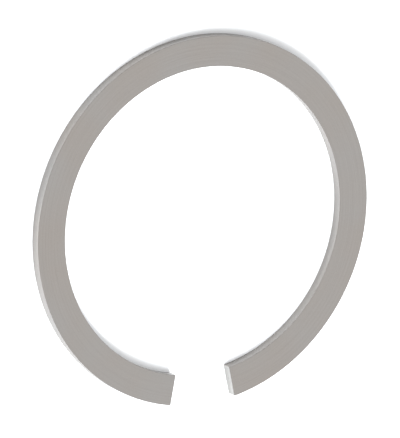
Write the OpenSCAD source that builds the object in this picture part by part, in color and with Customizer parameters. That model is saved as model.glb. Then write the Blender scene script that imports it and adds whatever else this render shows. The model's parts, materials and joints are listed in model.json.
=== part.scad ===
// Retaining ring of flat spring wire, lying free: open, of one section all round, with no lugs.
// Its axis is Z, its lower face lies on Z = 0, and the middle of its gap is on -Y.

/* [Ring] */
// Outside diameter, free of any groove
outside_d = 48.6; // [30:0.1:100]

/* [Wire] */
// Width of the flat wire, along the ring's radius
wire_w = 4; // [2:0.1:8]
// Thickness of the flat wire, along the ring's axis
wire_t = 1.5; // [0.8:0.1:4]
// Radius that rolling leaves on the wire's four long edges
edge_r = 0.05; // [0.03:0.01:0.3]

/* [Cut ends] */
// Angle of the gap, from one cut face to the other
gap_angle = 22.4; // [5:0.1:60]
// Chamfer that tumbling leaves round each cut face
end_break = 0.04; // [0.02:0.01:0.3]

/* [Hidden] */

outer_r = outside_d / 2;
inner_r = outer_r - wire_w;

// Where the middle of the wire's section runs
mid_r = outer_r - wire_w / 2;
mid_z = wire_t / 2;

// The wire starts at the cut face on the gap's +X side and runs anticlockwise to the other one
first_cut = -90 + gap_angle / 2;
wire_angle = 360 - gap_angle;

// A bar that takes the corner off an edge is this many chamfers thick, so its far sides touch nothing
bar_side = 6 * end_break;

ring_sides = 180;
corner_sides = 32;

// The wire's section, in its place beside the ring's axis: a rectangle with four round corners
module wire_section() {
    translate([inner_r + edge_r, 0])
        square([wire_w - 2 * edge_r, wire_t]);
    translate([inner_r, edge_r])
        square([wire_w, wire_t - 2 * edge_r]);
    for (x = [inner_r + edge_r, outer_r - edge_r], z = [edge_r, wire_t - edge_r])
        translate([x, z])
            circle(r = edge_r, $fn = corner_sides);
}

// The wire coiled into the ring, with both ends cut square, along a radius
module coiled_wire() {
    rotate_extrude(angle = wire_angle, start = first_cut, $fn = ring_sides)
        wire_section();
}

// A bar along an edge that runs through the origin, between a cut face on -Y and a side that faces +Z
module edge_bar(edge_length) {
    bar_length = edge_length + 2 * bar_side;
    rotate([45, 0, 0])
        translate([-bar_length / 2, -bar_side / 2, -end_break / sqrt(2)])
            cube([bar_length, bar_side, bar_side]);
}

// The four bars round the cut face on the gap's +X side
module cut_face_bars() {
    rotate([0, 0, first_cut])
        translate([mid_r, 0, mid_z])
            for (half_turn = [0, 180]) {
                rotate([0, half_turn, 0])
                    translate([0, 0, wire_t / 2])
                        edge_bar(wire_w);
                rotate([0, 90 + half_turn, 0])
                    translate([0, 0, wire_w / 2])
                        edge_bar(wire_t);
            }
}

module retaining_ring() {
    color("#a9a5a1")
        difference() {
            coiled_wire();
            for (gap_side = [0, 1])
                mirror([gap_side, 0, 0])
                    cut_face_bars();
        }
}

retaining_ring();
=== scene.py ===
# %% [markdown]
# # A retaining ring of flat spring wire
#
# The ring is one length of rolled flat wire, coiled to a circle on a winding machine and cut off with a
# gap left between its ends. Squeezed smaller, it goes into a bore and springs out into a groove. It has
# no lugs, holes or marks, so its looks rest on three things: the exact section, the light that slides
# round its two walls, and a satin steel skin that isn't one flat colour.
#
# The lesson goes in the order that a product photographer would work in: the sizes, the camera, the wire,
# its finish, and then the floor and the lights.

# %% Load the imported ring
import json
import math

import bmesh
import bpy
from mathutils import Matrix, Vector


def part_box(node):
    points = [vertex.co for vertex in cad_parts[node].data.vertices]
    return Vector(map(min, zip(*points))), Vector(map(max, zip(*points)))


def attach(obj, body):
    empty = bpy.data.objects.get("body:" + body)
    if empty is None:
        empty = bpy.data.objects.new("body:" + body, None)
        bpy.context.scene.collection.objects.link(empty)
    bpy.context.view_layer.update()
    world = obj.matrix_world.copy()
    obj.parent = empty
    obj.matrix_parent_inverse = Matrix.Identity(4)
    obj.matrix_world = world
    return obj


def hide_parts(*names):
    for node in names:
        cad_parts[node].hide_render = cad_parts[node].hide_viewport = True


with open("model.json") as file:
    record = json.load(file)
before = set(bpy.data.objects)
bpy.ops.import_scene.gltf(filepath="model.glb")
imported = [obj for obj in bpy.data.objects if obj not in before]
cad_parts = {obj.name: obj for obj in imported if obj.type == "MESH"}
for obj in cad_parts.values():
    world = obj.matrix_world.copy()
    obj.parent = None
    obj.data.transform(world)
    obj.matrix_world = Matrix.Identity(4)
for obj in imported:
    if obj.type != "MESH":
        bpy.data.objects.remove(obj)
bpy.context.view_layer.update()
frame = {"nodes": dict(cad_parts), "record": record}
scene = bpy.context.scene
MM = 0.001

# %% [markdown]
# ## The ring's sizes
#
# This file sets no size of its own. The two round walls are stated as mounts in the record, with their
# radii and how much of their height is flat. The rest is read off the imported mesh: the lowest and highest
# points give the thickness, and the points nearest to the gap give its angle and the chamfer that
# tumbling left round each cut face.
#
# Angles run anticlockwise from the middle of the gap, which is on -Y. They are never negative there, so
# the place where they jump back to zero falls in the gap, and no seam crosses the steel.

# %% Read the ring's sizes
NODE = "retaining_ring"
SAME_ANGLE = 1e-5

walls = {mount["name"]: mount["dims"] for mount in frame["record"]["mounts"]}
outer_r = walls["outer_rim"]["r_mm"] * MM
inner_r = walls["inside"]["r_mm"] * MM
low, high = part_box(NODE)
edge_r = (high.z - low.z - walls["outer_rim"]["length_mm"] * MM) / 2


def angle_from_gap(point):
    """The angle of a point round the axis, anticlockwise from the middle of the gap."""
    return math.atan2(point.x, -point.y) % math.tau


packed_points = [vertex.co for vertex in frame["nodes"][NODE].data.vertices]
half_gap = min(angle_from_gap(point) for point in packed_points)
cut_face = [point for point in packed_points if angle_from_gap(point) - half_gap < SAME_ANGLE]
end_break = min(point.xy.length for point in cut_face) - inner_r
print(f"radii {outer_r / MM:.2f} and {inner_r / MM:.2f} mm, thickness {(high.z - low.z) / MM:.2f} mm")
print(f"edge radius {edge_r / MM:.2f} mm, chamfer {end_break / MM:.2f} mm")
print(f"gap {2 * math.degrees(half_gap):.1f} degrees")

# %% [markdown]
# ## The camera
#
# The photograph has no perspective: the near and far sides of the ring have the same curves. An
# orthographic camera gives that. Its direction was fitted to the ring's outline: against a ring that
# stands upright, it looks at the face from 30 degrees to the left and 15 degrees above. This ring lies
# flat, since it can't stand by itself, so the same two turns are made from straight above it, with +Y as
# its top.
#
# A camera looks along its own -Z, with +X to the right of the picture and +Y up it. Those three
# directions are the columns of its matrix, and the last one is its place.

# %% Set up the camera
PICTURE_HEIGHT = 438
PIXELS_PER_OUTER_RADIUS = 189.88
FACE_CENTRE_RIGHT = 2.56
FACE_CENTRE_DOWN = 1.84
TURN_LEFT = math.radians(30)
TURN_UP = math.radians(15)
CAMERA_DISTANCE = 0.25

pixel = outer_r / PIXELS_PER_OUTER_RADIUS
to_right = Vector((math.cos(TURN_LEFT), 0, math.sin(TURN_LEFT)))
to_camera = Vector((-math.sin(TURN_LEFT), math.tan(TURN_UP), math.cos(TURN_LEFT))).normalized()
to_top = to_camera.cross(to_right)
face_centre = Vector((0, 0, high.z))
aim = face_centre + pixel * (FACE_CENTRE_DOWN * to_top - FACE_CENTRE_RIGHT * to_right)

camera_data = bpy.data.cameras.new("camera")
camera_data.type = "ORTHO"
camera_data.ortho_scale = PICTURE_HEIGHT * pixel
camera = bpy.data.objects.new("camera", camera_data)
turned = Matrix((to_right, to_top, to_camera)).transposed().to_4x4()
camera.matrix_world = Matrix.Translation(aim + CAMERA_DISTANCE * to_camera) @ turned
scene.collection.objects.link(camera)
scene.camera = camera
print(f"the picture is {camera_data.ortho_scale / MM:.2f} mm high, {MM / pixel:.2f} pixels to a millimetre")

# %% [markdown]
# ## The wire's section
#
# Flat wire is round wire that has been rolled, so its four long edges are small quarter circles and never
# sharp. A box with a bevel would do for a straight bar. Here the outline is worked out point by point
# instead, because one function can then also draw it a little smaller, for the chamfer at the cut ends.

# %% Draw the section
QUARTER_TURN = math.pi / 2
CORNER_STEPS = 6


def section(inset=0.0):
    """The wire's outline as pairs of radius and height, anticlockwise, drawn in by an inset on all sides."""
    radii = (outer_r - edge_r, outer_r - edge_r, inner_r + edge_r, inner_r + edge_r)
    heights = (low.z + edge_r, high.z - edge_r, high.z - edge_r, low.z + edge_r)
    points = []
    # Each corner is a quarter circle, and the first one runs from straight down to straight outwards
    for quarter, centre in enumerate(zip(radii, heights)):
        for step in range(CORNER_STEPS + 1):
            turn = QUARTER_TURN * (quarter - 1 + step / CORNER_STEPS)
            points.append((
                centre[0] + (edge_r - inset) * math.cos(turn),
                centre[1] + (edge_r - inset) * math.sin(turn),
            ))
    return points


outline = section()
print("points in the section:", len(outline))

# %% [markdown]
# ## Coiling the wire
#
# A Screw modifier would turn the section round the axis too, but the mesh is made in bmesh here for three
# reasons: the two cut ends need their own smaller outline, the steps round the ring are chosen so fine
# that no flat shows along the rim, and each face's place in the texture map is known while it is made.
#
# Each loop of points is one section at one angle. The first and last loops are the cut faces, drawn in by
# the chamfer. The loops next to them are full size and sit back by the same amount, which makes the
# chamfer 45 degrees all round. That setback is a length, so its angle is a little larger on the inside.

# %% Coil the wire
STEPS_ROUND = 540

wire_turn = math.tau - 2 * half_gap


def loop_of_points(angle, setback=0.0, inset=0.0):
    """One section of the wire at an angle, moved along the wire by a setback."""
    for radius, height in section(inset):
        turn = angle + setback / radius
        yield Vector((radius * math.sin(turn), -radius * math.cos(turn), height))


loops = [loop_of_points(half_gap, inset=end_break), loop_of_points(half_gap, setback=end_break)]
loops += [loop_of_points(half_gap + wire_turn * step / STEPS_ROUND) for step in range(1, STEPS_ROUND)]
loops += [loop_of_points(-half_gap, setback=-end_break), loop_of_points(-half_gap, inset=end_break)]

coil = bmesh.new()
rings = [[coil.verts.new(point) for point in points] for points in loops]
side_faces = []
for here, there in zip(rings, rings[1:]):
    corners = zip(here, there, there[1:] + there[:1], here[1:] + here[:1])
    side_faces.append([coil.faces.new(four) for four in corners])
cut_faces = [coil.faces.new(rings[0]), coil.faces.new(rings[-1][::-1])]
print("faces round the wire:", sum(len(row) for row in side_faces), "and cut faces:", len(cut_faces))

# %% [markdown]
# ## Unrolling the wire for its texture map
#
# The finish is made of nodes and needs no map, but an exported model does, because its colours are
# painted into one square picture. Laid out flat, the wire is a very long ribbon, so it is cut into three
# and the lengths are stacked in the square. Nothing is wasted on the empty middle of the ring, as it
# would be if the ring were simply flattened from above, and the fine lines along the wire keep their
# sharpness.
#
# The cut faces and their chamfers go above the ribbons, as they look from the end of the wire.

# %% Unroll the wire
RIBBONS = 3
MAP_MARGIN = 0.5 * MM

steps = [math.dist(a, b) for a, b in zip(outline, outline[1:] + outline[:1])]
girth = sum(steps)
round_section = [sum(steps[:index]) for index in range(len(steps) + 1)]
mid_r = (outer_r + inner_r) / 2
ribbon_length = wire_turn * mid_r / RIBBONS
ribbon_rows = STEPS_ROUND // RIBBONS
map_wide = ribbon_length + 2 * MAP_MARGIN
map_high = RIBBONS * (girth + MAP_MARGIN) + high.z - low.z + 2 * MAP_MARGIN
cut_face_base = RIBBONS * (girth + MAP_MARGIN) + MAP_MARGIN
unrolled = coil.loops.layers.uv.new("OFBake")


def place_on_map(corner, across, up):
    """Puts one corner of a face at a place on the map, given in metres from its lower left corner."""
    corner[unrolled].uv = (across / map_wide, up / map_high)


for row, faces in enumerate(side_faces[1:-1]):
    ribbon, row_in_ribbon = divmod(row, ribbon_rows)
    base = MAP_MARGIN + ribbon * (girth + MAP_MARGIN)
    for column, face in enumerate(faces):
        for corner, (along, up) in zip(face.loops, ((0, 0), (1, 0), (1, 1), (0, 1))):
            across = MAP_MARGIN + (row_in_ribbon + along) * ribbon_length / ribbon_rows
            place_on_map(corner, across, base + round_section[column + up])

for end, faces in enumerate((side_faces[0] + cut_faces[:1], side_faces[-1] + cut_faces[1:])):
    shift = MAP_MARGIN + end * (outer_r - inner_r + MAP_MARGIN)
    for face in faces:
        for corner in face.loops:
            point = corner.vert.co
            place_on_map(corner, shift + point.xy.length - inner_r, cut_face_base + point.z - low.z)

print(f"map of {map_wide / MM:.1f} x {map_high / MM:.1f} mm, girth of the wire {girth / MM:.2f} mm")

# %% [markdown]
# ## The ring as one object
#
# Smooth shading blends the light across the steps round the ring and round the four edges. Left to itself
# it would also bend the light on the two broad flat faces, next to their edges. Two things stop that:
# edges turned by more than 30 degrees, which are only the chamfers', are marked sharp, and a Weighted
# Normal modifier lets the large faces decide over the small ones beside them.
#
# The finished ring takes the place of the imported one and rides on the same body.

# %% Make the ring
SHARP = math.radians(30)

for face in coil.faces:
    face.smooth = True
ring_mesh = bpy.data.meshes.new("coiled_wire")
coil.to_mesh(ring_mesh)
coil.free()
ring_mesh.set_sharp_from_angle(angle=SHARP)

ring = bpy.data.objects.new("coiled_wire", ring_mesh)
scene.collection.objects.link(ring)
flat_faces = ring.modifiers.new("flat_faces_stay_flat", "WEIGHTED_NORMAL")
flat_faces.keep_sharp = True

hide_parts(NODE)
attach(ring, "root")
print("the ring's faces:", len(ring_mesh.polygons))

# %% [markdown]
# ## Writing a finish as sums
#
# A shader's maths is a net of small nodes, which is slow to wire by hand and hard to read back from a
# script. The class Value wraps one socket and overloads the operators, so that 1 - mask adds its Math
# node by itself. The class Nodes holds the net of one material, or of the world. Its method node adds any
# other kind of node: the settings come first, since some of them change which sockets a node has, and
# then the sockets get their values or links.

# %% Two classes for nodes
class Value:
    """One socket of a node, to be used in sums with numbers and with other values."""

    def __init__(self, nodes, socket):
        self.nodes = nodes
        self.socket = socket

    def maths(self, operation, *others):
        """A Math node that works on this value and then on the others."""
        return self.nodes.maths(operation, self, *others)

    def beside(self, name):
        """Another output of the same node."""
        return Value(self.nodes, self.socket.node.outputs[name])

    def __add__(self, other):
        return self.maths("ADD", other)

    def __sub__(self, other):
        return self.maths("SUBTRACT", other)

    def __rsub__(self, other):
        return self.nodes.maths("SUBTRACT", other, self)

    def __mul__(self, other):
        return self.maths("MULTIPLY", other)

    def __truediv__(self, other):
        return self.maths("DIVIDE", other)

    __radd__ = __add__
    __rmul__ = __mul__


class Nodes:
    """The nodes of one material, or of the world, and the shader that they end in."""

    # A Mix node has sockets for each kind of data under the same names, and these are the ones for colours
    MIX_FIRST = 6
    MIX_SECOND = 7
    MIXED = 2

    def __init__(self, owner, shader="Principled BSDF"):
        owner.use_nodes = True
        self.owner = owner
        self.tree = owner.node_tree
        self.shader = self.tree.nodes[shader]

    def fill(self, node, values):
        """Gives sockets of a node, by name or number, their values or links."""
        for name, value in values.items():
            if isinstance(value, Value):
                self.tree.links.new(value.socket, node.inputs[name])
            else:
                node.inputs[name].default_value = value

    def node(self, kind, settings=None, values=None, output=0):
        """Adds a node, sets it up, fills its sockets and returns one of its outputs."""
        node = self.tree.nodes.new(kind)
        for name, setting in (settings or {}).items():
            setattr(node, name, setting)
        self.fill(node, values or {})
        return Value(self, node.outputs[output])

    def maths(self, operation, *values):
        """A Math node; its sockets go by number, because all of them have the same name."""
        return self.node("ShaderNodeMath", {"operation": operation}, dict(enumerate(values)))

    def step(self, value, low_end, high_end):
        """Goes softly from 0 to 1 while the value goes from its low end to its high end."""
        limits = {"Value": value, "From Min": low_end, "From Max": high_end}
        return self.node("ShaderNodeMapRange", {"interpolation_type": "SMOOTHSTEP"}, limits)

    def mix(self, mask, first, second):
        """The first colour where the mask is 0 and the second where it is 1."""
        colours = {"Factor": mask, self.MIX_FIRST: first, self.MIX_SECOND: second}
        return self.node("ShaderNodeMix", {"data_type": "RGBA"}, colours, self.MIXED)


steel = Nodes(bpy.data.materials.new("satin_spring_steel"))
print("nodes in a new material:", len(steel.tree.nodes))

# %% [markdown]
# ## Where on the wire a point is
#
# Every mark on the ring follows the wire: the rolls drew their lines along it and the shear cut across
# it. So the finish needs a point's way along the wire, its distance from the axis and its height, all in
# millimetres. They are worked out from object coordinates, which stay with the ring in every view. The
# way along the wire is zero on +Y, opposite the gap, so the jump from one end of its scale to the other
# falls in the gap and leaves no seam.
#
# The same three numbers tell how deep inside each pair of sides a point lies: the two round walls, the
# two broad faces and the two cut faces. On a surface one of these depths is zero. Of the other two, the
# smaller is the distance to the nearest edge, and the sum of all three without the largest is that
# distance everywhere, also on the small round of the edge itself.

# %% Find the place on the wire
place = steel.node("ShaderNodeTexCoord", output="Object")
in_mm = steel.node("ShaderNodeVectorMath", {"operation": "SCALE"}, {"Vector": place, "Scale": 1 / MM})
x = steel.node("ShaderNodeSeparateXYZ", values={"Vector": in_mm}, output="X")
y = x.beside("Y")
z = x.beside("Z")
from_axis = (x * x + y * y).maths("SQRT")
way_round = (0 - x).maths("ARCTAN2", y)
along_wire = way_round * (mid_r / MM)

wall_depth = (outer_r / MM - from_axis).maths("MINIMUM", from_axis - inner_r / MM)
face_depth = (high.z / MM - z).maths("MINIMUM", z - low.z / MM)
cut_depth = (math.pi - half_gap - way_round.maths("ABSOLUTE")) * from_axis
deepest = wall_depth.maths("MAXIMUM", face_depth).maths("MAXIMUM", cut_depth)
from_edge = wall_depth + face_depth + cut_depth - deepest
print("nodes for the place on the wire:", len(steel.tree.nodes))

# %% [markdown]
# ## Lines, grain and temper colour
#
# Up close, rolled wire is covered with fine lines along its length, where the rolls and the coiling
# rollers rubbed it. Tumbling with stones dulls them with a fine even grain. Hardening in an oven leaves a
# hint of colour, a little warmer here and cooler there. All three are noise textures that differ in what
# they are stretched by: the lines by many millimetres along the wire and tenths across it, the grain
# evenly, and the temper colour over centimetres. An image texture would need tiling, and it would blur
# long before the noise.
#
# A noise texture stays near one half, so each pattern is brought to run from about -1 to 1. A strength
# can then be read straight off as the most that the pattern adds or takes away.

# %% Make the patterns
NOISE_MIDDLE = 0.5
NOISE_SWING = 4.0
ROLLED_LINES = {"length": 16.0, "pitch": 0.36}
FINE_LINES = {"length": 7.0, "pitch": 0.18}
GRAIN = {"size": 0.22}
TEMPER_COLOUR = {"size": 9.0, "detail": 2.0}


def pattern(vector, detail=1.0):
    """Noise with features about one unit long, running from about -1 to 1."""
    noise = steel.node("ShaderNodeTexNoise", values={"Vector": vector, "Scale": 1.0, "Detail": detail})
    return (noise - NOISE_MIDDLE) * NOISE_SWING


def lines_along(length, pitch):
    """Lines of a length along the wire, a pitch apart, in millimetres."""
    values = {"X": along_wire / length, "Y": from_axis / pitch, "Z": z / pitch}
    return pattern(steel.node("ShaderNodeCombineXYZ", values=values))


def patches(size, detail=1.0):
    """Spots as long as they are wide, of a size in millimetres."""
    values = {"Vector": in_mm, "Scale": 1 / size}
    return pattern(steel.node("ShaderNodeVectorMath", {"operation": "SCALE"}, values), detail)


rolled_lines = lines_along(**ROLLED_LINES)
fine_lines = lines_along(**FINE_LINES)
grain = patches(**GRAIN)
temper = patches(**TEMPER_COLOUR)
print("nodes with the patterns:", len(steel.tree.nodes))

# %% [markdown]
# ## Tumbled edges
#
# In the tumbler the stones knock on edges most, so these end up duller than the faces: many tiny dents
# spread the light, and no bright line runs along them. A bevel alone would catch the light as a clean
# line. Distance from the edge, moved a little by the grain, gives a mask with an uneven border instead.

# %% Mask the tumbled edges
EDGE_WIDTH = 0.04
EDGE_FADE = 0.05
EDGE_WANDER = 0.02

edge_border = from_edge + grain * EDGE_WANDER
tumbled_edge = 1 - steel.step(edge_border, EDGE_WIDTH, EDGE_WIDTH + EDGE_FADE)
print(f"the dull edges are {EDGE_WIDTH:.2f} mm wide and fade over {EDGE_FADE:.2f} mm")

# %% [markdown]
# ## Sheared ends
#
# A shear leaves two bands on a cut face. Where the blade went in, the steel is smeared smooth, with
# streaks in the blade's direction. Where the wire then tore off, it is grainy and duller. The border
# between them wanders, so a pattern moves it up and down.

# %% Mask the sheared ends
CUT_SKIN = 0.01
SMEARED_SHARE = 0.4
TEAR_PATCH = 0.6
TEAR_WANDER = 0.08
TEAR_FADE = 0.05
STREAK_PITCH = 0.15
STREAK_LENGTH = 2.0

cut_face_mask = 1 - steel.step(cut_depth, CUT_SKIN, 2 * CUT_SKIN)
tear_height = (low.z + (high.z - low.z) * (1 - SMEARED_SHARE)) / MM
tear_border = z + patches(TEAR_PATCH) * TEAR_WANDER
smeared = steel.step(tear_border, tear_height - TEAR_FADE, tear_height + TEAR_FADE)
torn = cut_face_mask * (1 - smeared)
streak_place = {"X": from_axis / STREAK_PITCH, "Z": z / STREAK_LENGTH}
streaks = pattern(steel.node("ShaderNodeCombineXYZ", values=streak_place)) * cut_face_mask * smeared
print(f"the wire tears off below {tear_height:.2f} mm")

# %% [markdown]
# ## The steel's colour
#
# The Base Color of a metal is the colour that it gives to what it reflects. Here that is the dark grey of
# hardened steel, with a little more red than blue, and the temper pattern moves it between a cooler and a
# warmer grey. The cut faces, which were bared last, are more neutral and brighter: partly as fresh steel,
# and partly as painted light, which makes the end faces look more brightly lit than the lamps make them.
# The other patterns move the shade by a few hundredths only, because the ring in the photograph looks
# even from an arm's length, and its lines and grain are meant to be found on a closer look.

# %% Colour the steel
COOL_STEEL = (0.314, 0.303, 0.293, 1)
WARM_STEEL = (0.327, 0.302, 0.281, 1)
# Painted light in part: the cut faces' grey is raised above fresh steel's, so that the ends look brightly
# lit.
FRESH_STEEL_AND_PAINTED_LIGHT = (0.374, 0.366, 0.352, 1)
LINE_SHADE = 0.04
GRAIN_SHADE = 0.02
STREAK_SHADE = 0.05
TORN_SHADE = 0.04

warmth = ((temper + 1) / 2).maths("MINIMUM", 1).maths("MAXIMUM", 0)
colour = steel.mix(cut_face_mask, steel.mix(warmth, COOL_STEEL, WARM_STEEL), FRESH_STEEL_AND_PAINTED_LIGHT)
rubbed = 1 + rolled_lines * LINE_SHADE + fine_lines * LINE_SHADE + grain * GRAIN_SHADE
shade = rubbed + streaks * STREAK_SHADE - torn * TORN_SHADE
shaded = steel.node("ShaderNodeVectorMath", {"operation": "SCALE"}, {"Vector": colour, "Scale": shade})
print("nodes with the colour:", len(steel.tree.nodes))

# %% [markdown]
# ## The steel's skin
#
# Roughness makes the steel satin. It varies with the same lines as the shade does, so that a line shows
# both in the steel's grey and in its gloss. Torn steel and tumbled edges are rougher still. The bump gives
# the lines and the grain their relief. Its heights are about a thousandth of a millimetre, as on real
# rolled steel, and a little more where it is torn, so they turn the light without changing the shape. Bare
# steel is a metal all over, so Metallic is a plain 1 on the shader.

# %% Finish the steel
SATIN = 0.4
TORN_STEEL = 0.46
DULL_EDGE = 0.5
LINE_SKIN = 0.03
TEMPER_SKIN = 0.02
ROLLED_RELIEF = 0.0012
FINE_RELIEF = 0.0008
GRAIN_RELIEF = 0.0006
TORN_RELIEF = 0.0015

skin = SATIN + rolled_lines * LINE_SKIN + fine_lines * LINE_SKIN + temper * TEMPER_SKIN
cut_skin = skin + torn * (TORN_STEEL - SATIN)
roughness = cut_skin + tumbled_edge * (DULL_EDGE - cut_skin)
rolled_height = rolled_lines * ROLLED_RELIEF + fine_lines * FINE_RELIEF + grain * GRAIN_RELIEF
height = rolled_height + torn * grain * TORN_RELIEF
relief = steel.node("ShaderNodeBump", values={"Distance": MM, "Height": height})

steel.fill(steel.shader, {"Base Color": shaded, "Metallic": 1.0, "Roughness": roughness, "Normal": relief})
ring_mesh.materials.append(steel.owner)
print("nodes in the steel:", len(steel.tree.nodes))

# %% [markdown]
# ## The floor
#
# The photograph has a bare white ground. A large matt sheet stands for it, painted a very pale grey that
# leans to blue by a hair: the round walls stand on the floor and reflect it, and in the photograph they
# are more neutral than the face. A sheet with a curved back, as product photographers use, isn't needed,
# since the camera looks down and never sees an edge of the floor. The floor isn't attached to the ring's
# body.

# %% Lay the floor
FLOOR_SIDE = 4.0
FLOOR_PAINT = (0.888, 0.9, 0.912, 1)

bpy.ops.mesh.primitive_plane_add(size=FLOOR_SIDE, location=(0, 0, low.z))
floor = bpy.context.active_object
floor.name = "studio_floor"
paint = Nodes(bpy.data.materials.new("pale_floor"))
paint.fill(paint.shader, {"Base Color": FLOOR_PAINT, "Roughness": 1.0, "Specular IOR Level": 0.0})
floor.data.materials.append(paint.owner)
print(f"the floor is {FLOOR_SIDE:.0f} m wide")

# %% [markdown]
# ## A dome of soft light
#
# Metal shows what is around it, so lighting the ring means to choose what each of its sides sees. The
# broad face is flat: from any one place it reflects a single patch of the studio. A small lamp would burn
# it white from one side and leave it dark from all the others. A dome whose brightness changes slowly
# gives the face one even grey in any view, a little lighter or darker as the viewer walks round.
#
# The dome is the world. The ring's walls are lightest towards the lower left of the photograph, so the
# dome is brightest high up over that side and dim low down over the opposite one. The dot product of a
# direction with the brightest one tells how near the two are, and a soft step turns it into brightness.
# Under the floor the world is white, for a low camera whose picture reaches past the floor's edge. The
# view transform is Standard, which keeps the greys as they are worked out here.

# %% Light the dome
BRIGHTEST = {"azimuth": 225, "elevation": 60}
DIM_GLOW = 0.31
BRIGHT_GLOW = 1.06
DIM_UP_TO = -0.2
BRIGHT_FROM = 0.6
WHITE_GLOW = (1, 1, 1, 1)


def towards(azimuth, elevation):
    """The direction at an azimuth from +X and an elevation from the floor, in degrees."""
    around = math.radians(azimuth)
    rise = math.radians(elevation)
    return Vector((math.cos(around) * math.cos(rise), math.sin(around) * math.cos(rise), math.sin(rise)))


brightest = towards(**BRIGHTEST)
scene.view_settings.view_transform = "Standard"
scene.world = bpy.data.worlds.new("studio_dome")
dome = Nodes(scene.world, "Background")
sight = dome.node("ShaderNodeTexCoord", output="Generated")
nearness = dome.node("ShaderNodeVectorMath", {"operation": "DOT_PRODUCT"}, {0: sight, 1: brightest}, "Value")
upward = dome.node("ShaderNodeSeparateXYZ", values={"Vector": sight}, output="Z")
under_floor = upward.maths("LESS_THAN", 0)
glow = DIM_GLOW + (BRIGHT_GLOW - DIM_GLOW) * dome.step(nearness, DIM_UP_TO, BRIGHT_FROM) + under_floor
dome.fill(dome.shader, {"Color": WHITE_GLOW, "Strength": glow})
print("nodes in the dome:", len(dome.tree.nodes))

# %% [markdown]
# ## Boxes for the floor
#
# Seen from above, the round walls reflect the floor in front of them more than the dome. Two soft boxes
# light that floor, one from the lower left of the picture and one from the gap's side. They make the
# walls light there and leave the rim darkest at the top, where the ring shades its own floor. They are
# strong enough to lift the floor well past white, which keeps that shade faint and narrow in the picture,
# and a weak third box overhead helps with that. All three are hidden from glossy rays, so the steel shows
# the bright floor but not the lamps over it, as when a photographer holds a flag between a lamp and the
# metal. The fourth box is wide and the steel does see it: it hangs where the face mirrors the
# photograph's camera and lifts that one view of the face by a shade.
#
# A box's strength is given as the light that arrives at the ring. An area light of P watts at a distance
# d gives P / (pi * d * d), so the power is worked out backwards from that.

# %% Set up the boxes
BOX_DISTANCE = 1.0
FACE_BOX_SIDE = 0.8
FACE_BOX_STRENGTH = 0.25
NEUTRAL_WHITE = (1.0, 1.0, 1.0)
FLOOR_BOX_SIDE = 0.42
COOL_WHITE = (0.955, 0.98, 1.0)
FLOOR_BOXES = {
    "side_box": {"azimuth": 217, "elevation": 53, "strength": 2.95},
    "front_box": {"azimuth": 281, "elevation": 33, "strength": 4.1},
    "overhead_box": {"azimuth": 250, "elevation": 80, "strength": 0.3},
}


def soft_box(name, direction, strength, side, colour, seen_by_steel):
    """A soft box that faces the ring; its strength is the light that arrives, in watts a square metre."""
    box = bpy.data.lights.new(name, "AREA")
    box.size = side
    box.color = colour
    box.energy = strength * math.pi * BOX_DISTANCE**2
    stand = bpy.data.objects.new(name, box)
    stand.rotation_mode = "QUATERNION"
    stand.rotation_quaternion = direction.to_track_quat("Z", "Y")
    stand.location = BOX_DISTANCE * direction
    stand.visible_camera = False
    stand.visible_glossy = seen_by_steel
    scene.collection.objects.link(stand)
    print(f"{name}: {box.energy:.1f} W")


face_mirror = Vector((-to_camera.x, -to_camera.y, to_camera.z))
soft_box("face_box", face_mirror, FACE_BOX_STRENGTH, FACE_BOX_SIDE, NEUTRAL_WHITE, seen_by_steel=True)
for box_name, floor_box in FLOOR_BOXES.items():
    direction = towards(floor_box["azimuth"], floor_box["elevation"])
    soft_box(box_name, direction, floor_box["strength"], FLOOR_BOX_SIDE, COOL_WHITE, seen_by_steel=False)
